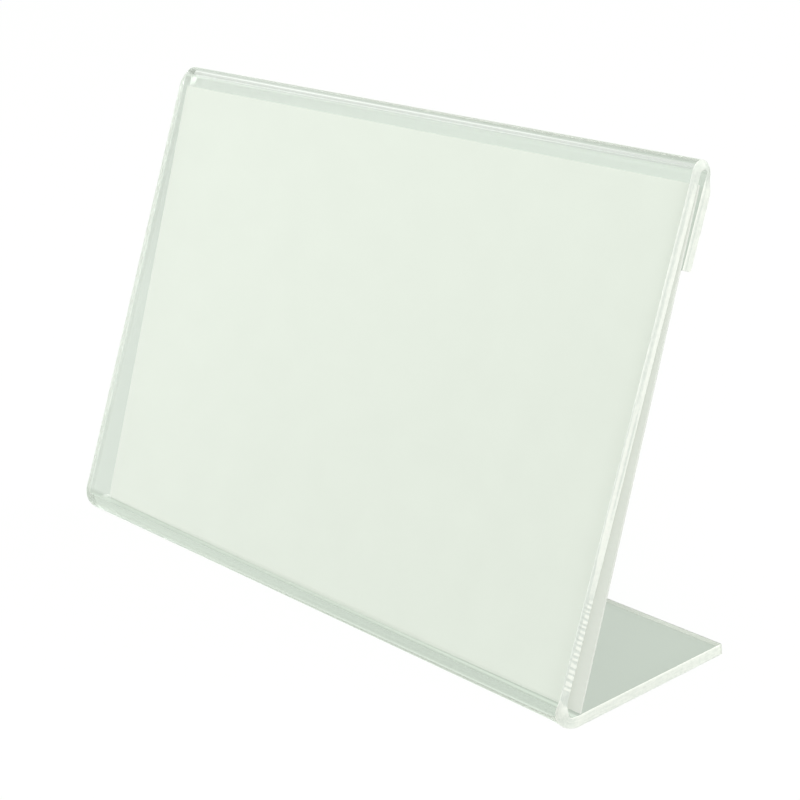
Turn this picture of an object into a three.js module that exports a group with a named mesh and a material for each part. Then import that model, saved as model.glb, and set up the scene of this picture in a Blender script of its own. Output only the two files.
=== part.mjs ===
import * as THREE from 'three';

// An L-shaped card stand: one clear acrylic sheet, heat-bent up at the front and folded over at the top,
// with a loose white card that stands on the base and is tucked under the fold, behind the front panel.
// Millimetres, +Z up, +Y to the back, +X to the reader's right. The origin is on the table, in the middle
// of the flat that the base rests on.

// Driving dimensions
const standWidth = 150;         // left to right, the length of both bends
const sheetThickness = 2.1;
const leanAngle = 23.65;        // degrees that the front panel leans back from upright
const baseLength = 36;          // flat of the base, from the front bend to the rear edge
const bendInsideRadius = 2.6;   // inside of the front bend
const panelLength = 92.1;       // flat of the front panel, between the two bends
const hookLength = 16.4;        // flat of the hook that hangs down behind the panel
const foldThinning = 0.4;       // share of its thickness that the sheet loses where the fold stretched it most
const thinnestAngle = 150;      // degrees round the fold, from the panel, to the place that is stretched most
const cardThickness = 0.35;
const slotSlack = 0.55;         // room in the slot beyond the card and a clearance on both its faces
const cardSideMargin = 1;       // how much narrower the card is than the stand, at each end
const cardSideShift = 0.7;      // how far the card has slid to the right of the middle
const cardTopClearance = 2.9;   // from the crown of the slot down to the card's top edge
const seatClearance = 0.3;      // between the card and each face that it leans or stands on
const bendFacet = 4;            // largest turn of one facet of a bend, in degrees
const taperFacet = 0.5;         // longest facet of the hook where its thickness changes

// Sizes that follow from them
const lean = THREE.MathUtils.degToRad(leanAngle);
const slotWidth = cardThickness + 2 * seatClearance + slotSlack;
const foldInsideRadius = slotWidth / 2;
const bendOutsideRadius = bendInsideRadius + sheetThickness;
const bendCentre = new THREE.Vector2(0, bendOutsideRadius);
const frontBend = { turn: Math.PI / 2 + lean, insideRadius: bendInsideRadius };
const topFold = { turn: Math.PI, insideRadius: foldInsideRadius };

// Lengths along the middle of the sheet: round a bend, from the panel to the thinnest place of the fold, and
// down the hook to where the sheet has its full thickness again
const lengthRound = ({ turn, insideRadius }) => turn * (insideRadius + sheetThickness / 2);
const thinReach = lengthRound({ ...topFold, turn: THREE.MathUtils.degToRad(thinnestAngle) });
const taperLength = Math.max(2 * thinReach - lengthRound(topFold), 0);

// The section is drawn in the YZ plane as (y, z), with y = 0 where the base's flat meets the front bend.
// A point of the front panel is given by its distance up the panel and its depth behind the front face.
const panelUp = new THREE.Vector2(Math.sin(lean), Math.cos(lean));
const panelBack = new THREE.Vector2(Math.cos(lean), -Math.sin(lean));
const panelFoot = bendCentre.clone().addScaledVector(panelBack, -bendOutsideRadius);

function onPanel(along, behind) {
  return panelFoot.clone().addScaledVector(panelUp, along).addScaledVector(panelBack, behind);
}

// The sheet's thickness at a distance past the panel's flat: a raised cosine down to the thinnest place of
// the fold and up again, and full before and after that.
function thicknessPast(distance) {
  const share = (distance - thinReach) / thinReach;
  if (Math.abs(share) >= 1) return sheetThickness;
  return sheetThickness * (1 - foldThinning * Math.cos((share * Math.PI) / 2) ** 2);
}

// The sheet's section, walked along its inside face from the rear edge of the base. Every bend turns to the
// walker's right, and the outside face lies to the left, as far off as the sheet is thick.
function sheetSection() {
  const inside = [];
  const outside = [];
  const place = new THREE.Vector2(baseLength, sheetThickness);
  let heading = Math.PI;
  let past = -(baseLength + lengthRound(frontBend) + panelLength);
  const leftHand = () => new THREE.Vector2(-Math.sin(heading), Math.cos(heading));
  const markFaces = () => {
    inside.push(place.clone());
    outside.push(place.clone().addScaledVector(leftHand(), thicknessPast(past)));
  };
  const goFlat = (length, facets = 1) => {
    for (let facet = 0; facet < facets; facet += 1) {
      place.x += (length / facets) * Math.cos(heading);
      place.y += (length / facets) * Math.sin(heading);
      past += length / facets;
      markFaces();
    }
  };
  const goRound = (bend) => {
    const centre = place.clone().addScaledVector(leftHand(), -bend.insideRadius);
    const facets = Math.ceil(THREE.MathUtils.radToDeg(bend.turn) / bendFacet);
    for (let facet = 0; facet < facets; facet += 1) {
      heading -= bend.turn / facets;
      past += lengthRound(bend) / facets;
      place.copy(centre).addScaledVector(leftHand(), bend.insideRadius);
      markFaces();
    }
  };
  markFaces();
  goFlat(baseLength);
  goRound(frontBend);
  goFlat(panelLength);
  goRound(topFold);
  goFlat(taperLength, Math.ceil(taperLength / taperFacet));
  goFlat(hookLength - taperLength);
  return new THREE.Shape([...outside, ...inside.reverse()]);
}

function acrylicStand() {
  const geometry = new THREE.ExtrudeGeometry(sheetSection(), { depth: standWidth, bevelEnabled: false });
  const material = new THREE.MeshStandardMaterial({
    color: 0xe4eee4, roughness: 0.06, metalness: 0, transparent: true, opacity: 0.3,
  });
  const mesh = new THREE.Mesh(geometry, material);
  mesh.name = 'acrylic_stand';
  mesh.rotation.set(Math.PI / 2, Math.PI / 2, 0);   // section (y, z) upright, its depth along X
  mesh.position.x = -standWidth / 2;
  return mesh;
}

// How the card sits: its top edge is tucked up behind the panel, its back leans on the hook's lower edge,
// and it reaches down to the base, or to the inside of the front bend where that comes first.
function cardSeat() {
  const topAlong = panelLength + foldInsideRadius - cardTopClearance;
  const tuck = topAlong - (panelLength - hookLength);
  const room = slotWidth - seatClearance;
  const kept = cardThickness + seatClearance;
  const steeper = Math.acos(kept / Math.hypot(tuck, room)) - Math.atan2(tuck, room);
  const angle = lean - steeper;
  const up = new THREE.Vector2(Math.sin(angle), Math.cos(angle));
  const back = new THREE.Vector2(Math.cos(angle), -Math.sin(angle));
  const topEdge = onPanel(topAlong, sheetThickness + seatClearance);

  // Down to the base, where the lowest point is the back of the card's lower edge
  const baseDrop = topEdge.y - sheetThickness - seatClearance - cardThickness * Math.sin(angle);
  let height = baseDrop / Math.cos(angle);

  // Down to the circle that keeps the clearance inside the front bend
  const fromCentre = topEdge.clone().sub(bendCentre);
  const nearest = fromCentre.dot(up);
  const reach = (bendInsideRadius - seatClearance) ** 2 - fromCentre.lengthSq() + nearest ** 2;
  const bendHeight = nearest + Math.sqrt(Math.max(reach, 0));
  const meetsBend = reach > 0 && topEdge.x - bendHeight * up.x < 0;
  if (meetsBend) height = Math.min(height, bendHeight);

  const middle = topEdge.clone().addScaledVector(up, -height / 2).addScaledVector(back, cardThickness / 2);
  return { angle, height, middle };
}

function cardInsert() {
  const { angle, height, middle } = cardSeat();
  const width = standWidth - 2 * cardSideMargin;
  const geometry = new THREE.BoxGeometry(width, cardThickness, height);
  const material = new THREE.MeshStandardMaterial({ color: 0xeef2ea, roughness: 0.85, metalness: 0 });
  const mesh = new THREE.Mesh(geometry, material);
  mesh.name = 'card_insert';
  mesh.rotation.x = -angle;
  mesh.position.set(cardSideShift, middle.x, middle.y);
  return mesh;
}

const cardStand = new THREE.Group();
cardStand.add(acrylicStand(), cardInsert());
cardStand.position.y = -baseLength / 2;

export default cardStand;
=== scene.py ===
import math

import bpy
import numpy as np
from mathutils import Matrix, Vector


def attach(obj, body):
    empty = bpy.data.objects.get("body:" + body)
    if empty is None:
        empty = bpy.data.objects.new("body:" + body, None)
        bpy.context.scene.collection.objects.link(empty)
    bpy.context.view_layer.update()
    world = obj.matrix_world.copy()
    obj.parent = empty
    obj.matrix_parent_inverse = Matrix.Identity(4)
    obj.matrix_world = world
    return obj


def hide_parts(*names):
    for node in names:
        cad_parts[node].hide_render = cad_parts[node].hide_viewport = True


# An L-shaped card stand, metres, +Z up, +Y to the back, +X to the reader's right.
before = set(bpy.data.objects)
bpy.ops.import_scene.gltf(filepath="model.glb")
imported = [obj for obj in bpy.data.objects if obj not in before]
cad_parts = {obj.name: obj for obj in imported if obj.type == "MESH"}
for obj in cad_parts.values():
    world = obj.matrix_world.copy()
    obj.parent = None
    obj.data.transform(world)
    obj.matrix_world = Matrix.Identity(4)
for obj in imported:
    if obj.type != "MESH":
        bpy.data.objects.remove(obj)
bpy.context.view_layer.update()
scene = bpy.context.scene
print("frame loaded:", sorted(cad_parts))


# Node helpers

def newMaterial(name):
    material = bpy.data.materials.new(name)
    material.use_nodes = True
    material.node_tree.nodes.clear()
    return material, material.node_tree


def addNode(tree, kind, **values):
    node = tree.nodes.new(kind)
    for key, value in values.items():
        if hasattr(node, key):
            setattr(node, key, value)
        else:
            node.inputs[key.replace("_", " ")].default_value = value
    return node


def join(tree, source, target):
    tree.links.new(source, target)


def maths(tree, operation, first, second=0):
    node = addNode(tree, "ShaderNodeMath", operation=operation)
    for slot, value in enumerate((first, second)):
        if isinstance(value, (int, float)):
            node.inputs[slot].default_value = value
        else:
            join(tree, value, node.inputs[slot])
    return node.outputs[0]


def ramp(tree, value, low, high, fromValue, toValue):
    node = addNode(tree, "ShaderNodeMapRange", interpolation_type="SMOOTHSTEP")
    for slot, number in zip(("From Min", "From Max", "To Min", "To Max"), (low, high, fromValue, toValue)):
        node.inputs[slot].default_value = number
    join(tree, value, node.inputs["Value"])
    return node.outputs["Result"]


def blendColours(tree, factor, first, second):
    node = addNode(tree, "ShaderNodeMix", data_type="RGBA")
    join(tree, factor, node.inputs[0])
    node.inputs[6].default_value = (*first, 1)   # A as a colour
    node.inputs[7].default_value = (*second, 1)   # B as a colour
    return node.outputs[2]


# One group for the soft blotches that handling leaves on acrylic, the frost of a sawn edge and the pulp of
# paper: a few octaves of noise, brought to a mask from 0 to 1 between its low and high levels.

def makeMottle():
    group = bpy.data.node_groups.new("softMottle", "ShaderNodeTree")
    sockets = group.interface
    sockets.new_socket("Place", in_out="INPUT", socket_type="NodeSocketVector")
    for label in ("Scale", "Low", "High"):
        sockets.new_socket(label, in_out="INPUT", socket_type="NodeSocketFloat")
    sockets.new_socket("Mask", in_out="OUTPUT", socket_type="NodeSocketFloat")
    inside = addNode(group, "NodeGroupInput")
    outside = addNode(group, "NodeGroupOutput")
    noise = addNode(group, "ShaderNodeTexNoise", Detail=4.0, Roughness=0.6)
    level = addNode(group, "ShaderNodeMapRange", interpolation_type="SMOOTHSTEP")
    join(group, inside.outputs["Place"], noise.inputs["Vector"])
    join(group, inside.outputs["Scale"], noise.inputs["Scale"])
    join(group, noise.outputs["Fac"], level.inputs["Value"])
    join(group, inside.outputs["Low"], level.inputs["From Min"])
    join(group, inside.outputs["High"], level.inputs["From Max"])
    join(group, level.outputs["Result"], outside.inputs["Mask"])
    return group


mottleGroup = makeMottle()


def mottle(tree, place, scale, low, high):
    node = addNode(tree, "ShaderNodeGroup", node_tree=mottleGroup)
    join(tree, place, node.inputs["Place"])
    node.inputs["Scale"].default_value = scale
    node.inputs["Low"].default_value = low
    node.inputs["High"].default_value = high
    return node.outputs["Mask"]


# Meshes

def putMesh(name, points, normals, quads, rims, materials, faceSlots, attributes):
    loops = quads.tolist() + rims
    mesh = bpy.data.meshes.new(name)
    mesh.from_pydata(points.tolist(), [], loops)
    for material in materials:
        mesh.materials.append(material)
    mesh.polygons.foreach_set("material_index", np.asarray(faceSlots, np.int32))
    mesh.polygons.foreach_set("use_smooth", np.ones(len(loops), bool))
    for label, values in attributes.items():
        kind, field = ("FLOAT", "value") if values.ndim == 1 else ("FLOAT_VECTOR", "vector")
        mesh.attributes.new(label, kind, "POINT").data.foreach_set(field, values.astype(np.float32).ravel())
    mesh.update()
    mesh.validate()
    mesh.normals_split_custom_set_from_vertices(normals.tolist())
    piece = bpy.data.objects.new(name, mesh)
    scene.collection.objects.link(piece)
    return piece


def smooth(value, low, high):
    share = np.clip((value - low) / (high - low), 0, 1)
    return share * share * (3 - 2 * share)


def slope(function, value, step):
    return (function(value + step) - function(value - step)) / (2 * step)


# The loop round a flat strip: outer face, right edge, inner face, left edge, with a quarter circle at each
# corner. A point lies at x = q * (half width - ease) + k * ease sideways, and at
# depth = a * ease + r * (thickness - 2 * ease) below the outer face. (nx, nd) is its normal in that plane.
# The points of a face stand closer together towards its two ends, as the sine of an even turn.

def stripLoop(across, through, corner):
    turn = np.linspace(0, math.pi / 2, corner + 1)[1:-1]
    way = np.sin(np.linspace(-math.pi / 2, math.pi / 2, across + 1))
    rise = np.linspace(0, 1, through + 1)
    s, c = np.sin(turn), np.cos(turn)
    ones = np.ones_like
    runs = [
        (way, 0 * way, 0 * way, 0 * way, 0 * way, -ones(way)),
        (ones(s), s, 1 - c, 0 * s, s, -c),
        (ones(rise), ones(rise), ones(rise), rise, ones(rise), 0 * rise),
        (ones(s), c, 1 + s, ones(s), c, s),
        (-way, 0 * way, 2 + 0 * way, ones(way), 0 * way, ones(way)),
        (-ones(s), -s, 1 + c, ones(s), -s, c),
        (-ones(rise), -ones(rise), ones(rise), 1 - rise, -ones(rise), 0 * rise),
        (-ones(s), -c, 1 - s, 0 * s, -c, -s),
    ]
    starts = np.cumsum([0] + [len(run[0]) for run in runs])
    return [np.concatenate(column) for column in zip(*runs)], starts


# A strip carried along a path in the YZ plane. At each station of the path the loop stands with its inner
# face on the path's point and its outer face a thickness away. Rounded stations at each end draw the loop in
# by the ease, and a row of quads with a face at either end closes it. press(run, depth, end) draws the right
# end (1) or the left end (-1) in at that depth, and flare(run, x) moves the whole thickness outwards.

def carryStrip(path, halfWidth, ease, across, through, corner, press, flare):
    roll = np.linspace(0, math.pi / 2, 4)   # the rounded stations
    inset = ease * (1 - np.cos(roll))
    reach = ease * np.sin(roll)
    count = len(path["run"])
    ends = len(roll) - 1
    pick = np.r_[np.zeros(ends, int), np.arange(count), np.full(ends, count - 1)]
    draw = np.r_[inset[:0:-1], np.zeros(count), inset[1:]][:, None]
    lift = np.r_[-reach[:0:-1], np.zeros(count), reach[1:]]
    tilt = np.r_[-roll[:0:-1], np.zeros(count), roll[1:]][:, None]
    inward, along = path["inward"][pick], path["along"][pick]
    thick, taper = path["thick"][pick, None], path["taper"][pick, None]
    face = path["face"][pick] + along * (lift - np.sign(lift) * ease)[:, None]   # kept within the length

    (q, k, a, r, nx, nd), starts = stripLoop(across, through, corner)
    small = ease * (0.25 + 0.75 * np.cos(tilt))   # the corners shrink to a quarter round the ends
    depth = draw + a * small + r * (thick - 2 * draw - 2 * small)
    run = np.broadcast_to((path["run"][pick] + lift)[:, None], depth.shape)
    end = np.where(q < 0, -1.0, 1.0)
    x = q * (halfWidth - draw - small - press(run, depth, end)) + k * small
    onEdge = np.abs(k)
    step = 2e-5   # for the slopes that lean the normals
    pressRun = slope(lambda value: press(value, depth, end), run, step) * onEdge
    pressDepth = slope(lambda value: press(run, value, end), depth, step) * onEdge
    out = thick - depth + flare(run, x)
    flareRun = slope(lambda value: flare(value, x), run, step)
    flareX = slope(lambda value: flare(run, value), x, step)

    points = np.stack([
        x,
        face[:, :1] - out * inward[:, :1],
        face[:, 1:] - out * inward[:, 1:],
    ], axis=-1)
    flat = np.cos(tilt)
    side = nx * flat + nd * flareX
    ahead = np.sin(tilt) + pressRun + nd * flat * (taper * (1 - depth / thick) + flareRun)
    under = nd * flat + pressDepth
    normals = np.stack([
        side,
        under * inward[:, :1] + ahead * along[:, :1],
        under * inward[:, 1:] + ahead * along[:, 1:],
    ], axis=-1)
    normals /= np.linalg.norm(normals, axis=-1, keepdims=True)
    places = np.stack([run, depth, x], axis=-1)

    stations, around = x.shape
    i, j = np.meshgrid(np.arange(stations - 1), np.arange(around), indexing="ij")
    following = (j + 1) % around
    quads = np.stack([i * around + j, i * around + following,
                      (i + 1) * around + following, (i + 1) * around + j], axis=-1).reshape(-1, 4)
    sawn = onEdge[j] + onEdge[following] > 0.2   # the edges and their corners
    cut = (sawn | (i < ends) | (i >= stations - 1 - ends)).ravel()

    top = np.arange(across)
    bottom = starts[5] - 1 - top
    capQuads = np.stack([top, bottom, bottom - 1, top + 1], axis=-1)
    right = np.arange(starts[1] - 1, starts[4] + 1)
    left = np.r_[np.arange(starts[5] - 1, around), 0]
    last = (stations - 1) * around
    quads = np.concatenate([quads, capQuads, last + capQuads[:, ::-1]])
    rims = [right.tolist(), left.tolist(), (last + right[::-1]).tolist(), (last + left[::-1]).tolist()]
    cut = np.r_[cut, np.ones(2 * across + len(rims), bool)]

    points, normals, places = (field.reshape(-1, 3) for field in (points, normals, places))
    corners = points[quads]
    volume = np.einsum("ij,ij->i", corners[:, 0], np.cross(corners[:, 1], corners[:, 2])).sum()
    volume += np.einsum("ij,ij->i", corners[:, 0], np.cross(corners[:, 2], corners[:, 3])).sum()
    if volume < 0:
        quads = quads[:, ::-1]
        rims = [rim[::-1] for rim in rims]
    return points, normals, quads, rims, cut, places


# Path of flats and bends, walked along the sheet's inside face. A flat is (length, station step); a bend is
# (turn, inside radius) and turns right about a centre that lies that radius off the face, with a station at
# least every bendStep degrees. The run is counted along the middle of the sheet, and curve is one over the
# inside radius on a bend and nothing on a flat.

def bentPath(start, heading, legs, thickness, bendStep):
    place = np.array(start, float)
    faces, headings, runs, curves = [place[None]], [np.array([heading])], [np.zeros(1)], [np.zeros(1)]
    for kind, first, second in legs:
        gone = runs[-1][-1]
        if kind == "flat":
            way = np.linspace(0, first, math.ceil(first / second) + 1)[1:]
            faces.append(place + way[:, None] * np.array([math.cos(heading), math.sin(heading)]))
            headings.append(np.full(len(way), heading))
            runs.append(gone + way)
            curves.append(np.zeros(len(way)))
        else:
            turned = np.linspace(0, first, math.ceil(math.degrees(first) / bendStep) + 1)[1:]
            angles = heading - turned
            centre = place + second * np.array([math.sin(heading), -math.cos(heading)])
            faces.append(centre - second * np.stack([np.sin(angles), -np.cos(angles)], axis=-1))
            headings.append(angles)
            runs.append(gone + turned * (second + thickness / 2))
            curves.append(np.full(len(angles), 1 / second))
        heading = headings[-1][-1]
        place = faces[-1][-1]
    headings = np.concatenate(headings)
    return {
        "face": np.concatenate(faces),
        "inward": np.stack([np.sin(headings), -np.cos(headings)], axis=-1),
        "along": np.stack([np.cos(headings), np.sin(headings)], axis=-1),
        "run": np.concatenate(runs),
        "curve": np.concatenate(curves),
    }


# The stand: one sheet from the base's rear edge, round the front bend, up the panel, over the fold and
# down the hook.

stand = {
    "width": 0.150,
    "thickness": 0.0021,
    "lean": math.radians(23.65),
    "base": 0.036,
    "bendInside": 0.0026,
    "panel": 0.0921,
    "foldInside": 0.00075,
    "hook": 0.0164,
    "thinning": 0.4,            # share of its thickness that the sheet loses at the back of the fold
    "thinnest": math.radians(150),
    "ease": 0.00013,            # how far the sawn corners are eased
    "swell": 0.00006,           # how far the cut edges stand proud at the inside of the two bends
    "bendPull": 0.00115,        # how far the outside of the front bend is drawn in at its right end
    "bendPullFrom": 0.1,        # where that begins, as a share of the turn
    "bendPullSpan": 0.95,       # and over how much of the turn it goes
    "foldPull": 0.00045,        # how far the outside of the fold is drawn in at its right end
    "foldPullLeft": 0.00135,
    "flare": 0.00040,           # how far the front bend opens at its right end
    "flareReach": 0.0045,
    "flareFrom": 0.11,          # shares of the turn, as for the pull
    "flareSpan": 0.56,
    "markPitch": 0.00100,       # the saw's chatter near the foot of the panel
    "markOpen": 0.85,           # less than 1 where its ridges begin further apart than the pitch
    "markClose": 8.8,           # and how fast they close up
    "markDepth": 0.00006,
    "markSlant": 0.24,
    "markFrom": 0.0015,         # its distance above the front bend
    "markTo": 0.0186,
    "index": 1.49,
    "tint": (0.973, 0.985, 0.973),
    "letThrough": (0.965, 0.980, 0.963),
    "polished": 0.015,          # roughness of the clean faces
    "smudged": 0.05,            # and where they have been touched
    "hazed": 0.012,             # and what a fine haze adds
    "smudgeScale": 55.0,
    "hazeScale": 420.0,
    "waveScale": 38.0,          # the faces are not quite flat
    "waveStrength": 0.006,
    "cutLetsThrough": (0.72, 0.74, 0.71),
    "clearCut": (0.745, 0.775, 0.735),
    "frostedCut": (0.985, 0.988, 0.938),
    "clearCutRough": 0.28,
    "frostedCutRough": 0.6,
    "cutTransmission": 0.2,
    "frostScale": 1500.0,
    "streakScale": 3600.0,
    "streakDrawn": (0.09, 1, 0.2),   # how the streaks are drawn out, by run, depth and width
    "rearScatter": 0.35,        # how much of the light behind the base's rear edge gets in there
    "rearReach": 0.0006,        # as far as this along the run
}

bendRun = (math.pi / 2 + stand["lean"]) * (stand["bendInside"] + stand["thickness"] / 2)
foldRun = math.pi * (stand["foldInside"] + stand["thickness"] / 2)
panelStart = stand["base"] + bendRun
foldStart = panelStart + stand["panel"]
hookStart = foldStart + foldRun
thinReach = foldRun * stand["thinnest"] / math.pi


# The fold stretched the sheet: its thickness falls as a raised cosine from the end of the panel's flat to
# the thinnest place and comes back over as far again.

def sheetThickness(run):
    share = np.clip((run - foldStart - thinReach) / thinReach, -1, 1)
    return stand["thickness"] * (1 - stand["thinning"] * np.cos(share * math.pi / 2) ** 2)


def standPath():
    taper = 2 * thinReach - foldRun   # the part of the hook that is thinner
    fine = stand["markTo"] + 0.005   # the part of the panel that has the chatter
    legs = [
        ("flat", stand["base"], 0.001),
        ("bend", math.pi / 2 + stand["lean"], stand["bendInside"]),
        ("flat", fine, 0.0001),
        ("flat", stand["panel"] - fine, 0.001),
        ("bend", math.pi, stand["foldInside"]),
        ("flat", taper, 0.0003),
        ("flat", stand["hook"] - taper, 0.001),
    ]
    start = (stand["base"] / 2, stand["thickness"])
    path = bentPath(start, math.pi, legs, stand["thickness"], bendStep=4.0)
    path["thick"] = sheetThickness(path["run"])
    # the outer face is this much longer than the run, so its taper is gentler
    stretch = (1 + path["curve"] * path["thick"]) / (1 + path["curve"] * stand["thickness"] / 2)
    path["taper"] = slope(sheetThickness, path["run"], 1e-6) / stretch
    return path


# Where along the run the sheet is bent, eased in and out over a few millimetres.

def atBend(run):
    rise = smooth(run, stand["base"] - 0.003, stand["base"] + 0.003)
    return rise * (1 - smooth(run, panelStart - 0.002, panelStart + 0.003))


def atFold(run, end):
    start = foldStart - 0.0016 * (end < 0)   # lower down at the left end
    return smooth(run, start, start + 0.0026) * (1 - smooth(run, hookStart, hookStart + 0.003))


# The saw's chatter: slanted bright ridges, a cosine of the distance up the panel and of the depth. They
# stand pitch / (open + 2 * close * up) apart, a little closer up the panel, and two sines make them uneven.

def aboveMarks(up):
    return smooth(up, stand["markTo"] - 0.002, stand["markTo"] + 0.001)


def sawMarks(run, depth):
    up = run - panelStart
    marked = smooth(up, stand["markFrom"] - 0.0004, stand["markFrom"] + 0.0004) * (1 - aboveMarks(up))
    wobble = 0.09 * np.sin(up * 2300 + 1.1) + 0.06 * np.sin(up * 5100 + depth * 900)
    climb = up * (stand["markOpen"] + stand["markClose"] * up)
    phase = (climb + stand["markSlant"] * depth) / stand["markPitch"] + wobble
    ridge = smooth(np.cos(2 * math.pi * phase), -0.6, 0.3)
    return marked, ridge


# The cut edge stands in by the swell along the flats. At the bends its inside comes out to full width, and
# its outside, which was stretched, is drawn in with the power 1.5 of the distance from the inside face:
# round the right end of the front bend as the square of a sine, and evenly round the fold.

def edgePress(run, depth, end):
    share = np.clip(depth / sheetThickness(run), 0, 1)
    bend, fold = atBend(run), atFold(run, end)
    turned = np.clip(((run - stand["base"]) / bendRun - stand["bendPullFrom"]) / stand["bendPullSpan"], 0, 1)
    pull = stand["bendPull"] * np.sin(math.pi * turned) ** 2 * (end > 0)
    pull = pull + fold * np.where(end > 0, stand["foldPull"], stand["foldPullLeft"])
    marked, ridge = sawMarks(run, depth)
    out = stand["swell"] * (1 - np.maximum(bend, fold)) + stand["markDepth"] * marked * (1 - ridge)
    return out + pull * (1 - share) ** 1.5


# The front bend opens a little at its right end: the flare times the square of the way through the last
# millimetres of the width, and the square of a sine round the lower half of the bend.

def endFlare(run, x):
    nearEnd = np.clip(1 - (stand["width"] / 2 - x) / stand["flareReach"], 0, 1)
    turned = np.clip((run - stand["base"]) / bendRun, 0, 1)
    lower = np.clip((turned - stand["flareFrom"]) / stand["flareSpan"], 0, 1)
    return stand["flare"] * nearEnd ** 2 * np.sin(math.pi * lower) ** 2


# Tones of the cut edge, from 0 where it is almost clear to 1 where it is frosted white

cutTone = {
    "clear": 0.2,               # the panel's cut, where nothing else is said
    "ridge": 0.97,              # the chatter's ridges
    "ridgeNarrows": 22,         # share of the thickness that they leave clear, for each metre up the panel
    "band": 0.66,               # a white band above the chatter
    "bandGain": 0.22,           # what it gains further up
    "bandFrom": 0.30,           # where it begins, as a share of the thickness
    "bandWiden": 0.18,          # and how much nearer to the outer face that is further up
    "bandLine": 0.85,           # what a clear line along it takes away
    "stripes": 0.25,            # the ground of the stripes below the fold
    "outerStripe": 0.55,        # and what each adds
    "middleStripe": 0.22,
    "innerStripe": 0.42,
    "belowFold": 0.45,
    "fold": 0.42,
    "foldClears": 0.32,         # what the fold loses towards its back
    "wedge": 0.45,              # the end of the front bend
    "wedgeUpper": 0.35,         # what its upper part gains
    "wedgeLower": 0.30,         # and its lower part
    "wedgeCorner": 0.95,
    "base": 0.60,
    "baseCorner": 0.40,         # what its upper corner gains
    # the base's rear end: partly frosted, partly painted light that lifts the shade it lies in
    "baseRear": 0.9,
    "hook": 0.72,
    "hookCorner": 0.28,         # what its corner beside the slot gains
    "hookLine": 0.45,           # and what the line next to it loses
    "leftShare": 0.15,          # the left end is cut cleaner: its tones are this share of the right end's
}


# The tone by the run and by the share of the thickness from the outer face. Places given to up are metres
# above the front bend, those given to share are shares of the thickness, and those given to turned are
# shares of the front bend.

def edgeTone(run, depth):
    share = np.clip(depth / sheetThickness(run), 0, 1)
    up = run - panelStart
    marked, ridge = sawMarks(run, depth)

    def line(middle, half):
        return np.clip(1 - np.abs(share - middle) / half, 0, 1)

    # Panel, from its foot: clear, chatter, a white band that widens, and three stripes below the fold
    bandFrom = cutTone["bandFrom"] - cutTone["bandWiden"] * smooth(up, 0.021, 0.028)
    band = cutTone["band"] + cutTone["bandGain"] * smooth(up, 0.020, 0.030)
    band = smooth(share, bandFrom - 0.10, bandFrom + 0.12) * band
    lineLength = smooth(up, 0.026, 0.040) * (1 - smooth(up, 0.050, 0.056))
    band = band - cutTone["bandLine"] * line(0.66, 0.20) * lineLength
    stripes = cutTone["stripes"] + cutTone["outerStripe"] * line(0.10, 0.13)
    stripes = stripes + cutTone["middleStripe"] * smooth(share, 0.30, 0.42)
    stripes = stripes + cutTone["innerStripe"] * smooth(share, 0.48, 0.60)
    upper = smooth(up, 0.047, 0.056)
    panel = (1 - upper) * band * aboveMarks(up) + upper * stripes
    ridgeFrom = cutTone["ridgeNarrows"] * up
    chatter = smooth(share, ridgeFrom, ridgeFrom + 0.12) * ridge
    panel = np.maximum(np.maximum(panel, cutTone["clear"]), cutTone["ridge"] * marked * chatter)
    frosted = smooth(up, stand["panel"] - 0.005, stand["panel"] - 0.001)
    panel = panel * (1 - frosted) + cutTone["belowFold"] * frosted

    # Bend: a frosted wedge with bright corners, paler towards the base and towards the panel
    turned = (run - stand["base"]) / bendRun
    wedge = cutTone["wedge"] + cutTone["wedgeUpper"] * smooth(turned, 0.50, 0.68)
    wedge = wedge + cutTone["wedgeLower"] * (1 - smooth(turned, 0.05, 0.30))
    wedge = np.maximum(wedge, cutTone["wedgeCorner"] * np.maximum(line(0.03, 0.10), line(0.97, 0.10)))
    inWedge = 1 - smooth(up + 0.0017 * share, 0.0001, 0.0004)

    # Base: whitish, with a bright upper corner and a rear end that is partly frosted, partly painted light
    base = cutTone["base"] + cutTone["baseCorner"] * smooth(share, 0.80, 0.92)
    base = base + (cutTone["baseRear"] - base) * (1 - smooth(run, 0.0002, 0.0008))

    # Hook: a bright corner beside the slot and a grey line next to it
    hook = cutTone["hook"] + cutTone["hookCorner"] * line(0.97, 0.14)
    hook = hook - cutTone["hookLine"] * line(0.70, 0.16)

    tone = panel + (wedge - panel) * inWedge
    onBase = 1 - smooth(run, stand["base"] - 0.002, stand["base"])
    tone = tone + (base - tone) * onBase
    onFold = smooth(run, foldStart - 0.002, foldStart)
    foldTone = cutTone["fold"] - cutTone["foldClears"] * smooth(run, foldStart + 0.0020, foldStart + 0.0032)
    tone = tone + (foldTone - tone) * onFold
    onHook = smooth(run, hookStart - 0.001, hookStart + 0.003)
    return np.clip(tone + (hook - tone) * onHook, 0, 1)


# Lamps and bounced light go straight through the sheet, so that the card behind the panel is lit.

def passLight(tree, shader, colour):
    light = addNode(tree, "ShaderNodeLightPath")
    clear = addNode(tree, "ShaderNodeBsdfTransparent")
    clear.inputs["Color"].default_value = (*colour, 1)
    forBounce = addNode(tree, "ShaderNodeMixShader")
    join(tree, light.outputs["Is Diffuse Ray"], forBounce.inputs[0])
    join(tree, shader.outputs[0], forBounce.inputs[1])
    join(tree, clear.outputs[0], forBounce.inputs[2])
    forLamps = addNode(tree, "ShaderNodeMixShader")
    join(tree, light.outputs["Is Shadow Ray"], forLamps.inputs[0])
    join(tree, forBounce.outputs[0], forLamps.inputs[1])
    join(tree, clear.outputs[0], forLamps.inputs[2])
    out = addNode(tree, "ShaderNodeOutputMaterial")
    join(tree, forLamps.outputs[0], out.inputs["Surface"])


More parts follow.
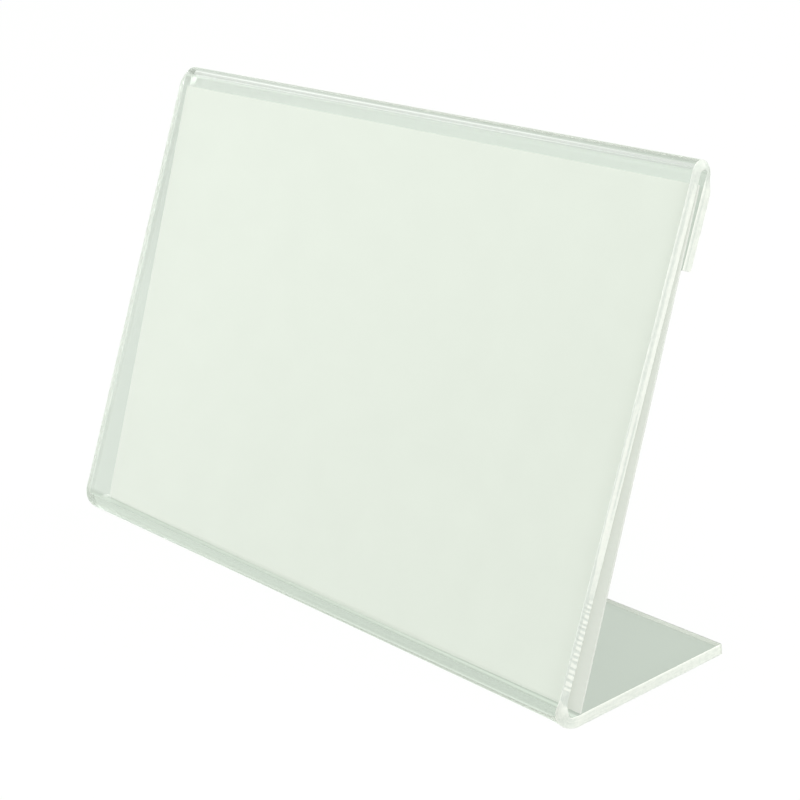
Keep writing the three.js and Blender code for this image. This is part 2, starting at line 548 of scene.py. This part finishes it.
def acrylicFaces():
    material, tree = newMaterial("clearAcrylic")
    place = addNode(tree, "ShaderNodeTexCoord").outputs["Object"]
    smudge = mottle(tree, place, stand["smudgeScale"], 0.5, 0.78)
    haze = mottle(tree, place, stand["hazeScale"], 0.45, 0.8)
    rough = ramp(tree, smudge, 0, 1, stand["polished"], stand["smudged"])
    rough = maths(tree, "ADD", rough, maths(tree, "MULTIPLY", haze, stand["hazed"]))
    wave = addNode(tree, "ShaderNodeTexNoise", Scale=stand["waveScale"], Detail=1.0)
    join(tree, place, wave.inputs["Vector"])
    bump = addNode(tree, "ShaderNodeBump", Strength=stand["waveStrength"], Distance=0.0004)
    join(tree, wave.outputs["Fac"], bump.inputs["Height"])
    glass = addNode(tree, "ShaderNodeBsdfPrincipled", IOR=stand["index"])
    glass.inputs["Base Color"].default_value = (*stand["tint"], 1)
    glass.inputs["Transmission Weight"].default_value = 1.0
    join(tree, rough, glass.inputs["Roughness"])
    join(tree, bump.outputs["Normal"], glass.inputs["Normal"])
    passLight(tree, glass, stand["letThrough"])
    return material


# Sawn edge: clear to frosted by its tone, with specks of frost and streaks drawn along the cut, which are
# weaker where it is clear. The base's rear edge also scatters the light from behind into the sheet.

def sawnEdges():
    material, tree = newMaterial("sawnEdge")
    sheetPlace = addNode(tree, "ShaderNodeAttribute", attribute_name="sheetPlace").outputs["Vector"]
    tone = addNode(tree, "ShaderNodeAttribute", attribute_name="edgeTone").outputs["Fac"]
    drawn = addNode(tree, "ShaderNodeMapping")
    drawn.inputs["Scale"].default_value = stand["streakDrawn"]
    join(tree, sheetPlace, drawn.inputs["Vector"])
    frost = mottle(tree, sheetPlace, stand["frostScale"], 0.3, 0.72)
    streaks = mottle(tree, drawn.outputs["Vector"], stand["streakScale"], 0.32, 0.68)
    uneven = maths(tree, "ADD", ramp(tree, frost, 0, 1, -0.12, 0.12), ramp(tree, streaks, 0, 1, -0.1, 0.08))
    uneven = maths(tree, "MULTIPLY", uneven, ramp(tree, tone, 0, cutTone["clear"], 0.2, 1))
    level = ramp(tree, maths(tree, "ADD", tone, uneven), 0, 1, 0, 1)
    colour = blendColours(tree, level, stand["clearCut"], stand["frostedCut"])
    bump = addNode(tree, "ShaderNodeBump", Strength=0.3, Distance=0.00005)
    join(tree, maths(tree, "ADD", frost, streaks), bump.inputs["Height"])
    shader = addNode(tree, "ShaderNodeBsdfPrincipled", IOR=stand["index"])
    shader.inputs["Transmission Weight"].default_value = stand["cutTransmission"]
    join(tree, colour, shader.inputs["Base Color"])
    rough = ramp(tree, level, 0, 1, stand["clearCutRough"], stand["frostedCutRough"])
    join(tree, rough, shader.inputs["Roughness"])
    join(tree, bump.outputs["Normal"], shader.inputs["Normal"])
    along = addNode(tree, "ShaderNodeSeparateXYZ")
    join(tree, sheetPlace, along.inputs[0])
    atRear = ramp(tree, along.outputs["X"], 0.0002, stand["rearReach"], stand["rearScatter"], 0)
    scatter = addNode(tree, "ShaderNodeBsdfTranslucent")
    scatter.inputs["Color"].default_value = (*stand["frostedCut"], 1)
    edge = addNode(tree, "ShaderNodeMixShader")
    join(tree, atRear, edge.inputs[0])
    join(tree, shader.outputs[0], edge.inputs[1])
    join(tree, scatter.outputs[0], edge.inputs[2])
    passLight(tree, edge, stand["cutLetsThrough"])
    return material


def makeStand():
    points, normals, quads, rims, cut, places = carryStrip(
        standPath(), stand["width"] / 2, stand["ease"], across=40, through=16, corner=3,
        press=edgePress, flare=endFlare)
    fromLeft = smooth(places[:, 2] + stand["width"] / 2, 0.0005, 0.0015)
    tones = edgeTone(places[:, 0], places[:, 1])
    tones = tones * (cutTone["leftShare"] + (1 - cutTone["leftShare"]) * fromLeft)
    piece = putMesh("bent_acrylic_sheet", points, normals, quads, rims, [acrylicFaces(), sawnEdges()],
                    cut.astype(int), {"sheetPlace": places, "edgeTone": tones})
    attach(piece, "stand")
    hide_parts("acrylic_stand")
    print("stand:", len(points), "points,", len(quads), "quads")


makeStand()


# The card: a cut sheet that leans on the hook's lower edge and stands on the base, a little bowed and out of
# square.

card = {
    "width": 0.148,
    "height": 0.0923,
    "thickness": 0.00035,
    "lean": math.radians(21.4416),
    "middle": (0.00082, -0.0006572, 0.045186),
    "ease": 0.00006,
    "bow": 0.0007,              # forwards, in the middle of the lower edge
    "skew": 0.00133,            # the left edge is cut this far out of square
    "skewAbout": 0.41,          # and turns about this share of the height
    "white": (0.763, 0.772, 0.732),
    "paintedShade": 0.92,              # painted shade: the lower right of the card has this share of the white
    "paintedShadeSlant": 0.4,          # how steeply that painted shade rises to the right
    "paintedShadeFrom": -0.02,         # heights in the middle of the card where the painted shade is full and where it ends
    "paintedShadeTo": 0.10,
    "pulp": 0.22,               # share of the painted shade's blend that is blotches of pulp
    "pulpScale": 130.0,
    "fibreScale": 2600.0,
}


def cardPaper():
    material, tree = newMaterial("whiteCard")
    place = addNode(tree, "ShaderNodeTexCoord").outputs["Object"]
    pulp = mottle(tree, place, card["pulpScale"], 0.3, 0.7)
    fibre = addNode(tree, "ShaderNodeTexNoise", Scale=card["fibreScale"], Detail=3.0, Roughness=0.6)
    join(tree, place, fibre.inputs["Vector"])
    white = card["white"]
    # Painted shade: the white darkens towards the lower right, where less light falls, mixed with pulp
    cardPlace = addNode(tree, "ShaderNodeAttribute", attribute_name="cardPlace").outputs["Vector"]
    spot = addNode(tree, "ShaderNodeSeparateXYZ")
    join(tree, cardPlace, spot.inputs[0])
    sideways = maths(tree, "MULTIPLY", spot.outputs["Z"], card["paintedShadeSlant"])
    slanted = maths(tree, "SUBTRACT", spot.outputs["X"], sideways)
    rise = ramp(tree, slanted, card["paintedShadeFrom"], card["paintedShadeTo"], 0, 1)
    rise = maths(tree, "MULTIPLY", rise, 1 - card["pulp"])
    shadeAndPulpMix = maths(tree, "ADD", rise, maths(tree, "MULTIPLY", pulp, card["pulp"]))
    colour = blendColours(tree, shadeAndPulpMix, tuple(card["paintedShade"] * v for v in white), white)
    bump = addNode(tree, "ShaderNodeBump", Strength=0.05, Distance=0.00004)
    join(tree, fibre.outputs["Fac"], bump.inputs["Height"])
    shader = addNode(tree, "ShaderNodeBsdfPrincipled", IOR=1.45)
    shader.inputs["Specular IOR Level"].default_value = 0.25
    join(tree, colour, shader.inputs["Base Color"])
    join(tree, ramp(tree, fibre.outputs["Fac"], 0.3, 0.7, 0.8, 0.92), shader.inputs["Roughness"])
    join(tree, bump.outputs["Normal"], shader.inputs["Normal"])
    out = addNode(tree, "ShaderNodeOutputMaterial")
    join(tree, shader.outputs[0], out.inputs["Surface"])
    return material


# Forward bow of the card: bow * (1 - (x / half width)^2) at the foot, falling off with the square of the
# distance left to the top edge, so that the top stays flat in the fold.

def cardBow(run, x):
    left = np.clip(1 - run / card["height"], 0, 1)
    return card["bow"] * (1 - (2 * x / card["width"]) ** 2) * left ** 2


def makeCard():
    tilt = card["lean"]
    upward = np.array([math.sin(tilt), math.cos(tilt)])
    backward = np.array([math.cos(tilt), -math.sin(tilt)])
    run = np.linspace(0, card["height"], 49)
    foot = np.array(card["middle"][1:]) - upward * card["height"] / 2 + backward * card["thickness"] / 2
    path = {
        "face": foot + run[:, None] * upward,
        "inward": np.tile(backward, (len(run), 1)),
        "along": np.tile(upward, (len(run), 1)),
        "run": run,
        "thick": np.full(len(run), card["thickness"]),
        "taper": np.zeros(len(run)),
    }
    points, normals, quads, rims, cut, places = carryStrip(
        path, card["width"] / 2, card["ease"], across=60, through=3, corner=3,
        press=lambda runs, depth, end: 0 * runs, flare=cardBow)
    points[:, 2] -= cardBow(places[:, 0], places[:, 2]) * math.sin(tilt)   # the foot stays level
    nearLeft = np.clip(0.5 - places[:, 2] / card["width"], 0, 1)
    points[:, 0] -= card["skew"] * (places[:, 0] / card["height"] - card["skewAbout"]) * nearLeft
    points[:, 0] += card["middle"][0]
    piece = putMesh("loose_card", points, normals, quads, rims, [cardPaper()], np.zeros(len(cut), int),
                    {"cardPlace": places})
    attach(piece, "card")
    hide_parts("card_insert")
    print("card:", len(points), "points,", len(quads), "quads")


makeCard()


# Floor, world and lamps

studio = {
    "floorHalf": 4.0,
    "floorCells": 8,
    "floorDrop": 0.00005,
    "floorColour": (0.245, 0.27, 0.241),
    "shadowShare": 0.25,        # how much of the lit floor the camera sees under its white
    "whiteLevel": 1.26,
    "glassShare": 0.36,         # how much of that white shows through the glass
    "glassWhite": (0.906, 1.0, 0.896),   # and its colour there
    "world": 0.6,               # how bright the world is where it lights the pieces
    "worldMirrored": 1.0,       # what polished faces mirror of it
    "worldThrough": 0.74,       # and what shows through them
    "worldColour": (0.945, 1.0, 0.935),
}

# Painted light on the floor where it shows through the glass: lighter floor in front of the stand, a
# painted caustic line under the front bend, lighter floor behind the stand turning to painted shade to its
# left, and lighter floor far behind. Each is added to the glass share on parts of the floor: between the two
# values of y it goes from the first lift to the second, and it is multiplied by a share that changes between
# the two values of x in the same way. The y of the line is the distance from its middle.

paintedFloorLight = {
    # painted light: the floor in front of the front bend is lighter, more so to the left
    "front": {"y": (-0.019, -0.016), "lift": (0.11, 0), "x": (-0.08, 0.05), "share": (1, 0.3)},
    # a painted caustic: a bright line on the floor under the front bend, stronger to the right
    "line": {
        "middle": -0.0182,      # under the front bend
        "y": (0.00033, 0.0011),
        "lift": (0.18, 0),
        "x": (-0.06, 0.05),
        "share": (0.3, 1),
    },
    # painted light behind the stand where the back right lamp's light falls, and painted shade further left
    "behind": {"y": (0.055, 0.09), "lift": (0, 0.055), "x": (-0.30, -0.14), "share": (-0.8, 1)},
    # painted light far behind, against the lamps' falloff
    "far": {"y": (0.30, 0.50), "lift": (0, 0.20), "x": (-4.0, 4.0), "share": (1, 1)},
}

lamps = {
    "overhead": {"place": (0.0, 0.05, 1.4), "aim": (0, 0, 0.03), "size": (1.1, 1.1), "power": 3.0},
    "leftWall": {"place": (-0.97, -0.845, 0.31), "aim": (0, 0, 0.045), "size": (1.2, 0.9), "power": 3.4},
    "backLeft": {"place": (-0.998, 0.675, 0.605), "aim": (0, 0, 0.09), "size": (0.42, 0.32), "power": 0.13},
    "frontRight": {"place": (1.8, -1.9, 0.6), "aim": (0, 0, 0.045), "size": (1.4, 1.0), "power": 42.0},
    "backRight": {"place": (1.05, 0.75, 0.65), "aim": (0, 0, 0.03), "size": (0.8, 0.8), "power": 8.0},
}


# How much of the white each kind of ray sees: the camera's own, those that a face mirrors, and those through
# the glass

def whiteShare(tree, camera, glossy, glass):
    light = addNode(tree, "ShaderNodeLightPath")
    straight = maths(tree, "MULTIPLY", light.outputs["Is Camera Ray"], camera)
    mirrored = maths(tree, "MULTIPLY", light.outputs["Is Glossy Ray"], light.outputs["Is Reflection Ray"])
    mirrored = maths(tree, "MULTIPLY", mirrored, glossy)
    through = maths(tree, "MULTIPLY", light.outputs["Is Transmission Ray"], glass)
    return maths(tree, "MAXIMUM", maths(tree, "MAXIMUM", straight, mirrored), through)


def floorThrough(tree):
    place = addNode(tree, "ShaderNodeSeparateXYZ")
    join(tree, addNode(tree, "ShaderNodeTexCoord").outputs["Object"], place.inputs[0])
    glass = studio["glassShare"]
    # the painted light on the floor adds to the white that shows through the glass
    for values in paintedFloorLight.values():
        away = place.outputs["Y"]
        if "middle" in values:
            away = maths(tree, "ABSOLUTE", maths(tree, "SUBTRACT", away, values["middle"]))
        lift = ramp(tree, away, *values["y"], *values["lift"])
        lift = maths(tree, "MULTIPLY", lift, ramp(tree, place.outputs["X"], *values["x"], *values["share"]))
        glass = maths(tree, "ADD", lift, glass)
    return glass


def makeFloor():
    half, cells = studio["floorHalf"], studio["floorCells"]
    row = cells + 1
    u, v = np.meshgrid(np.linspace(-half, half, row), np.linspace(-half, half, row))
    points = np.stack([u, v, np.full_like(u, -studio["floorDrop"])], axis=-1).reshape(-1, 3)
    i, j = np.meshgrid(np.arange(cells), np.arange(cells), indexing="ij")
    corner = (i * row + j).ravel()
    quads = np.stack([corner, corner + 1, corner + row + 1, corner + row], axis=-1)
    material, tree = newMaterial("paleFloor")
    seen = 1 - studio["shadowShare"]
    share = whiteShare(tree, seen, seen, floorThrough(tree))
    lit = addNode(tree, "ShaderNodeBsdfDiffuse")
    lit.inputs["Color"].default_value = (*studio["floorColour"], 1)
    white = addNode(tree, "ShaderNodeEmission", Strength=studio["whiteLevel"])
    camera = addNode(tree, "ShaderNodeLightPath").outputs["Is Camera Ray"]
    join(tree, blendColours(tree, camera, studio["glassWhite"], (1, 1, 1)), white.inputs["Color"])
    mix = addNode(tree, "ShaderNodeMixShader")
    join(tree, share, mix.inputs[0])
    join(tree, lit.outputs[0], mix.inputs[1])
    join(tree, white.outputs[0], mix.inputs[2])
    out = addNode(tree, "ShaderNodeOutputMaterial")
    join(tree, mix.outputs[0], out.inputs["Surface"])
    mesh = bpy.data.meshes.new("floor")
    mesh.from_pydata(points.tolist(), [], quads.tolist())
    mesh.materials.append(material)
    floor = bpy.data.objects.new("floor", mesh)
    scene.collection.objects.link(floor)


def makeWorld():
    world = bpy.data.worlds.new("paleStudio")
    world.use_nodes = True
    tree = world.node_tree
    tree.nodes.clear()
    share = whiteShare(tree, 1, studio["worldMirrored"], studio["worldThrough"])
    camera = addNode(tree, "ShaderNodeLightPath").outputs["Is Camera Ray"]
    level = maths(tree, "MAXIMUM", share, studio["world"])
    back = addNode(tree, "ShaderNodeBackground")
    join(tree, level, back.inputs["Strength"])
    join(tree, blendColours(tree, camera, studio["worldColour"], (1, 1, 1)), back.inputs["Color"])
    out = addNode(tree, "ShaderNodeOutputWorld")
    join(tree, back.outputs[0], out.inputs["Surface"])
    scene.world = world


def makeLamps():
    for name, values in lamps.items():
        lamp = bpy.data.lights.new(name, "AREA")
        lamp.shape = "RECTANGLE"
        lamp.size, lamp.size_y = values["size"]
        lamp.energy = values["power"]
        holder = bpy.data.objects.new(name, lamp)
        holder.location = values["place"]
        aim = Vector(values["aim"]) - Vector(values["place"])
        holder.rotation_euler = aim.to_track_quat("-Z", "Y").to_euler()
        scene.collection.objects.link(holder)


makeFloor()
makeWorld()
makeLamps()
print("studio:", len(lamps), "lamps")


# Camera, from the lines of the stand in the picture

view = {
    "place": (0.32046, -0.24557, 0.18398),
    "right": (0.64056, 0.76393, -0.07798),
    "ahead": (-0.73681, 0.58285, -0.34263),
    "focal": 2190.7,            # in pixels
    "frame": 800,               # width of the picture in pixels
    "sensor": 36.0,             # and in millimetres
}


def makeCamera():
    ahead = Vector(view["ahead"]).normalized()
    right = Vector(view["right"])
    right = (right - right.dot(ahead) * ahead).normalized()
    up = right.cross(ahead)
    data = bpy.data.cameras.new("photoView")
    data.sensor_width = view["sensor"]
    data.lens = view["focal"] / view["frame"] * view["sensor"]
    data.clip_start, data.clip_end = 0.01, 50
    camera = bpy.data.objects.new("photoView", data)
    turn = Matrix((right, up, -ahead)).transposed().to_4x4()
    camera.matrix_world = Matrix.Translation(view["place"]) @ turn
    scene.collection.objects.link(camera)
    scene.camera = camera


makeCamera()
scene.view_settings.view_transform = "Standard"
scene.cycles.max_bounces = 48   # light is piped along the sheet by many mirrorings
scene.cycles.glossy_bounces = 40
scene.cycles.transmission_bounces = 40
scene.cycles.transparent_max_bounces = 24
